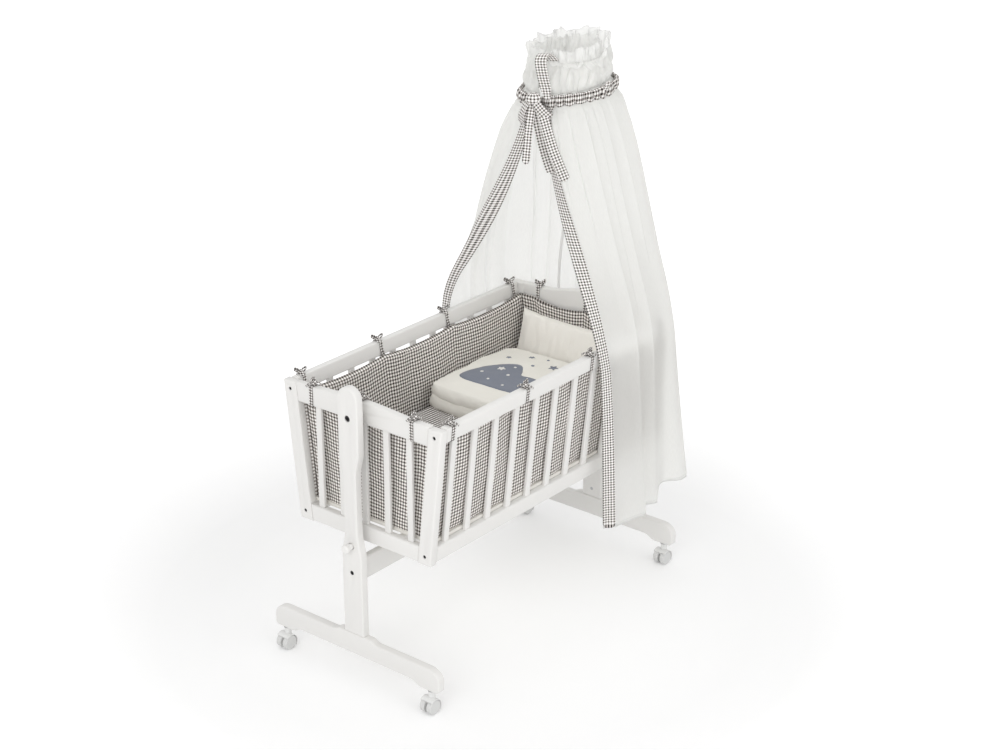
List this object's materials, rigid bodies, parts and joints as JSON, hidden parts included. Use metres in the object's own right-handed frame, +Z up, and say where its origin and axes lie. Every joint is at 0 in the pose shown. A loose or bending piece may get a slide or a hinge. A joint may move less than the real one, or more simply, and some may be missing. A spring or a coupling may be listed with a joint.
{
  "type": "swinging cradle",
  "caption": "Slatted wooden cradle that swings between two posts of a caster stand, with mattress, bumper, pillow, folded quilt and a gathered canopy on a pole",
  "frame": {"origin": "on the floor, below the middle of the cradle and of the stand", "axes": "+X from the foot end to the head end, +Y to the cradle's left side, +Z up"},
  "size_m": [1.1114, 0.6085, 1.5057],
  "materials": {
    "white_wood": "satin white lacquer",
    "base_board": "matt white lacquer",
    "steel": "satin zinc plate",
    "black_steel": "black oxide",
    "white_plastic": "satin",
    "caster_plastic": "satin",
    "wheel_plastic": "matt",
    "white_tube": "white powder coat",
    "gingham": "woven cotton check",
    "gingham_sheet": "woven cotton check",
    "cream_quilting": "quilted cotton",
    "voile": "sheer voile"
  },
  "bodies": {
    "stand": {"foot_end_stand_post": "white_wood", "foot_end_beam": "white_wood", "foot_end_base_bolt": "steel", "foot_end_pivot_bolt": "steel", "foot_end_stretcher_bolt": "black_steel", "foot_end_pivot_spacer": "white_plastic", "head_end_stand_post": "white_wood", "head_end_beam": "white_wood", "head_end_base_bolt": "steel", "head_end_pivot_bolt": "steel", "head_end_stretcher_bolt": "black_steel", "head_end_pivot_spacer": "white_plastic", "stretcher": "white_wood", "foot_end_left_caster_stem": "steel", "foot_end_right_caster_stem": "steel", "head_end_left_caster_stem": "steel", "head_end_right_caster_stem": "steel"},
    "cradle": {"foot_end_left_corner_post": "white_wood", "foot_end_right_corner_post": "white_wood", "foot_end_top_rail": "white_wood", "foot_end_bottom_rail": "white_wood", "foot_end_slat_1": "white_wood", "foot_end_slat_2": "white_wood", "foot_end_slat_3": "white_wood", "foot_end_slat_4": "white_wood", "foot_end_slat_5": "white_wood", "head_end_left_corner_post": "white_wood", "head_end_right_corner_post": "white_wood", "head_end_top_rail": "white_wood", "head_end_bottom_rail": "white_wood", "head_end_slat_1": "white_wood", "head_end_slat_2": "white_wood", "head_end_slat_3": "white_wood", "head_end_slat_4": "white_wood", "head_end_slat_5": "white_wood", "left_top_rail": "white_wood", "left_slatted_rail": "white_wood", "right_top_rail": "white_wood", "right_slatted_rail": "white_wood", "base_board": "base_board", "left_bumper": "gingham", "right_bumper": "gingham", "foot_end_bumper": "gingham", "head_end_bumper": "gingham", "mattress": "gingham_sheet", "pillow": "cream_quilting", "quilt": "cream_quilting", "canopy_pole": "white_tube", "canopy_clamp_top": "white_plastic", "canopy_clamp_bottom": "white_plastic", "canopy_cloth": "voile"},
    "locking_peg": {"locking_peg": "white_plastic"},
    "foot_end_left_caster": {"foot_end_left_caster_hood": "caster_plastic"},
    "foot_end_left_caster_wheels": {"foot_end_left_caster_wheels": "wheel_plastic"},
    "foot_end_right_caster": {"foot_end_right_caster_hood": "caster_plastic"},
    "foot_end_right_caster_wheels": {"foot_end_right_caster_wheels": "wheel_plastic"},
    "head_end_left_caster": {"head_end_left_caster_hood": "caster_plastic"},
    "head_end_left_caster_wheels": {"head_end_left_caster_wheels": "wheel_plastic"},
    "head_end_right_caster": {"head_end_right_caster_hood": "caster_plastic"},
    "head_end_right_caster_wheels": {"head_end_right_caster_wheels": "wheel_plastic"}
  },
  "joints": [
    {"name": "cradle_swing", "type": "hinge", "parent": "stand", "child": "cradle", "pos_m": [0, 0, 0.74], "axis": [1, 0, 0], "range_deg": [-12, 12]},
    {"name": "peg_push", "type": "slide", "parent": "stand", "child": "locking_peg", "axis": [1, 0, 0], "range_m": [0, 0.014]},
    {"name": "foot_end_left_caster_swivel", "type": "hinge", "parent": "stand", "child": "foot_end_left_caster", "pos_m": [-0.51, 0.2525, 0.0594], "axis": [0, 0, 1], "continuous": true},
    {"name": "foot_end_left_caster_roll", "type": "hinge", "parent": "foot_end_left_caster", "child": "foot_end_left_caster_wheels", "pos_m": [-0.518, 0.2525, 0.01975], "axis": [0, 1, 0], "continuous": true},
    {"name": "foot_end_right_caster_swivel", "type": "hinge", "parent": "stand", "child": "foot_end_right_caster", "pos_m": [-0.51, -0.2525, 0.0594], "axis": [0, 0, 1], "continuous": true},
    {"name": "foot_end_right_caster_roll", "type": "hinge", "parent": "foot_end_right_caster", "child": "foot_end_right_caster_wheels", "pos_m": [-0.518, -0.2525, 0.01975], "axis": [0, 1, 0], "continuous": true},
    {"name": "head_end_left_caster_swivel", "type": "hinge", "parent": "stand", "child": "head_end_left_caster", "pos_m": [0.51, 0.2525, 0.0594], "axis": [0, 0, 1], "continuous": true},
    {"name": "head_end_left_caster_roll", "type": "hinge", "parent": "head_end_left_caster", "child": "head_end_left_caster_wheels", "pos_m": [0.502, 0.2525, 0.01975], "axis": [0, 1, 0], "continuous": true},
    {"name": "head_end_right_caster_swivel", "type": "hinge", "parent": "stand", "child": "head_end_right_caster", "pos_m": [0.51, -0.2525, 0.0594], "axis": [0, 0, 1], "continuous": true},
    {"name": "head_end_right_caster_roll", "type": "hinge", "parent": "head_end_right_caster", "child": "head_end_right_caster_wheels", "pos_m": [0.502, -0.2525, 0.01975], "axis": [0, 1, 0], "continuous": true}
  ]
}
